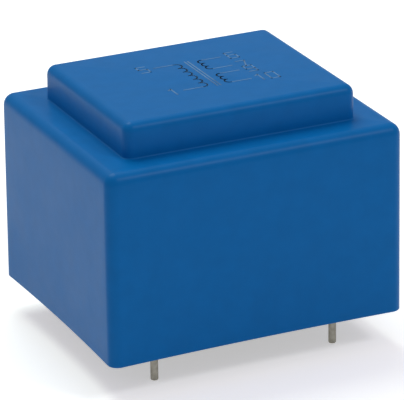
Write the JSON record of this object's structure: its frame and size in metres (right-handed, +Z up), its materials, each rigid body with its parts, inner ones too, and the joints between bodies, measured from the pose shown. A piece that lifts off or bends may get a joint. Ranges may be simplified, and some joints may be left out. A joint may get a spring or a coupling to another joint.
{
  "type": "pcb transformer",
  "caption": "Potted transformer for printed circuit boards: moulded case with a raised top over a laminated core and two-chamber coil, cast in resin, on round solder pins.",
  "frame": {"origin": "middle of the square of corner pins, on the plane of the case's lower rim, where the board's face lies", "axes": "+Z up from the board through the raised top; +X along the rows of pins, from pin 1 to pin 5; +Y from the primary row to the secondary row"},
  "size_m": [0.0326, 0.0276, 0.0276],
  "materials": {
    "case": "moulded, fine matt grain",
    "resin": "cast, smooth free surface",
    "former": "moulded, plain",
    "core": "punched sheet with a thin film",
    "copper": "enamelled wire",
    "tape": "smooth film",
    "pin_tin": "dull tinned, drawn",
    "solder": "bright, smooth"
  },
  "bodies": {
    "root": {"case": "case", "potting": "resin", "coil_former": "former", "e_laminations": "core", "i_laminations": "core", "primary_winding": "copper", "secondary_winding_inner": "copper", "secondary_winding_outer": "copper", "primary_tape": "tape", "secondary_tape": "tape", "pin_1": "pin_tin", "pin_5": "pin_tin", "pin_6": "pin_tin", "pin_7": "pin_tin", "pin_9": "pin_tin", "pin_10": "pin_tin", "lead_1": "copper", "lead_5": "copper", "lead_6": "copper", "lead_7": "copper", "lead_9": "copper", "lead_10": "copper", "solder_1": "solder", "solder_5": "solder", "solder_6": "solder", "solder_7": "solder", "solder_9": "solder", "solder_10": "solder"}
  },
  "joints": []
}
